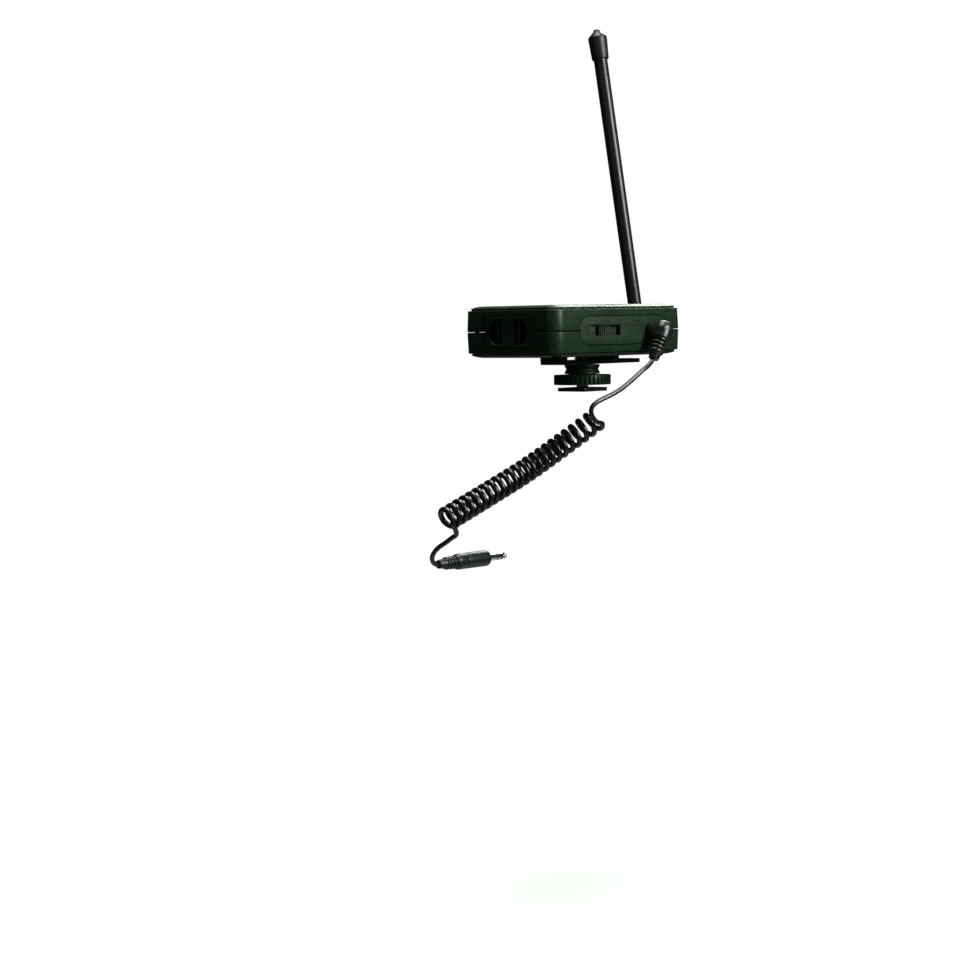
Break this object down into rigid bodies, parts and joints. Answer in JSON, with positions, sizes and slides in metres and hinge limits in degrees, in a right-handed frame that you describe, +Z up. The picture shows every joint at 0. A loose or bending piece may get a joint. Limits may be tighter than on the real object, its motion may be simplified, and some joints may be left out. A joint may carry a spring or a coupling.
{
  "type": "wireless microphone receiver",
  "caption": "Pocket-size wireless audio receiver on a camera shoe clamp, with folding whip antenna, battery tray, channel switch and curly plug-in audio cord.",
  "frame": {"origin": "centre of the underside of the shoe foot, where the object rests in a camera's accessory shoe", "axes": "+Z up out of the shoe, towards the antenna's tip; +X along the case towards the antenna end; -Y towards the face with the audio jack and the channel switch"},
  "size_m": [0.1815, 0.0901, 0.2847],
  "materials": {
    "case_plastic": "satin black moulded case",
    "panel_plastic": "matt dark grey",
    "knob_plastic": "matt charcoal",
    "rubber": "matt black rubber",
    "cord_rubber": "satin black cord jacket",
    "black_metal": "satin black",
    "chrome": "bright plated",
    "steel": "plain steel",
    "brass": "bright",
    "circuit_board": "green lacquered board",
    "battery_sleeve": "glossy plain sleeve",
    "lens": "clear red light pipe"
  },
  "bodies": {
    "shoe_adapter": {"shoe_foot": "black_metal", "adapter_stud": "steel", "adapter_neck": "case_plastic", "belt_clip": "case_plastic"},
    "clamp_washer": {"clamp_washer": "rubber"},
    "thumbwheel": {"thumbwheel": "case_plastic"},
    "receiver": {"front_shell": "case_plastic", "rear_shell": "case_plastic", "side_panel": "panel_plastic", "battery_bay": "panel_plastic", "channel_switch_body": "panel_plastic", "line_out_jack": "panel_plastic", "main_board": "circuit_board", "rf_shield_can": "steel", "audio_chip": "panel_plastic", "contact_board": "circuit_board", "contact_spring_1": "steel", "contact_spring_2": "steel", "power_switch_body": "panel_plastic", "power_lens": "lens", "signal_lens": "lens", "antenna_bushing": "black_metal", "bushing_nut": "brass", "case_screw_1": "black_metal", "case_screw_2": "black_metal", "case_screw_3": "black_metal", "case_screw_4": "black_metal", "clip_bracket": "case_plastic", "clip_pin": "steel", "clip_spring": "steel", "bracket_screw_1": "black_metal", "bracket_screw_2": "black_metal", "plug_elbow": "cord_rubber", "plug_pin": "chrome", "cord_lead": "cord_rubber", "cord_coil": "cord_rubber", "cord_tail": "cord_rubber", "far_plug_barrel": "cord_rubber", "far_plug_pin": "chrome"},
    "battery_tray": {"battery_tray": "case_plastic", "tray_contact_strip": "brass", "battery_1": "battery_sleeve", "battery_2": "battery_sleeve", "latch_spring": "steel"},
    "latch_left": {"latch_left": "knob_plastic"},
    "latch_right": {"latch_right": "knob_plastic"},
    "channel_slider": {"channel_slider": "knob_plastic"},
    "power_slider": {"power_slider": "knob_plastic"},
    "antenna_swivel": {"swivel_fork": "chrome", "fold_pin": "steel"},
    "antenna_rod": {"antenna_knuckle": "chrome", "antenna_whip": "steel", "antenna_sleeve": "rubber", "antenna_cap": "rubber"}
  },
  "joints": [
    {"name": "clamp_slide", "type": "slide", "parent": "shoe_adapter", "child": "clamp_washer", "axis": [0, 0, 1], "range_m": [-0.0012, 0.0004]},
    {"name": "thumbwheel_turn", "type": "hinge", "parent": "clamp_washer", "child": "thumbwheel", "pos_m": [0, 0, 0.0061], "axis": [0, 0, 1], "range_deg": [-330, 110]},
    {"name": "clip_hinge", "type": "hinge", "parent": "shoe_adapter", "child": "receiver", "pos_m": [0.017, 0, 0.0163], "axis": [0, 1, 0], "range_deg": [0, 5], "stiffness_Nm_per_rad": 0.5, "springref_deg": -28.65},
    {"name": "battery_tray_slide", "type": "slide", "parent": "receiver", "child": "battery_tray", "axis": [-1, 0, 0], "range_m": [0, 0.055]},
    {"name": "latch_left_slide", "type": "slide", "parent": "battery_tray", "child": "latch_left", "axis": [0, -1, 0], "range_m": [0, 0.0016], "stiffness_N_per_m": 300, "springref_m": -0.002},
    {"name": "latch_right_slide", "type": "slide", "parent": "battery_tray", "child": "latch_right", "axis": [0, 1, 0], "range_m": [0, 0.0016], "stiffness_N_per_m": 300, "springref_m": -0.002},
    {"name": "channel_slide", "type": "slide", "parent": "receiver", "child": "channel_slider", "axis": [1, 0, 0], "range_m": [-0.0061, 0.0122]},
    {"name": "power_slide", "type": "slide", "parent": "receiver", "child": "power_slider", "axis": [0, 1, 0], "range_m": [0, 0.004]},
    {"name": "antenna_swivel", "type": "hinge", "parent": "receiver", "child": "antenna_swivel", "pos_m": [0.0552, 0.0141, 0.032], "axis": [1, 0, 0], "continuous": true},
    {"name": "antenna_fold", "type": "hinge", "parent": "antenna_swivel", "child": "antenna_rod", "pos_m": [0.0634, 0.0141, 0.032], "axis": [0, 0.9866, -0.1633], "range_deg": [0, 90]}
  ],
  "couplings": [
    {"joint": "clamp_slide", "follows": "thumbwheel_turn", "m_per_rad": 0.00020213}
  ]
}
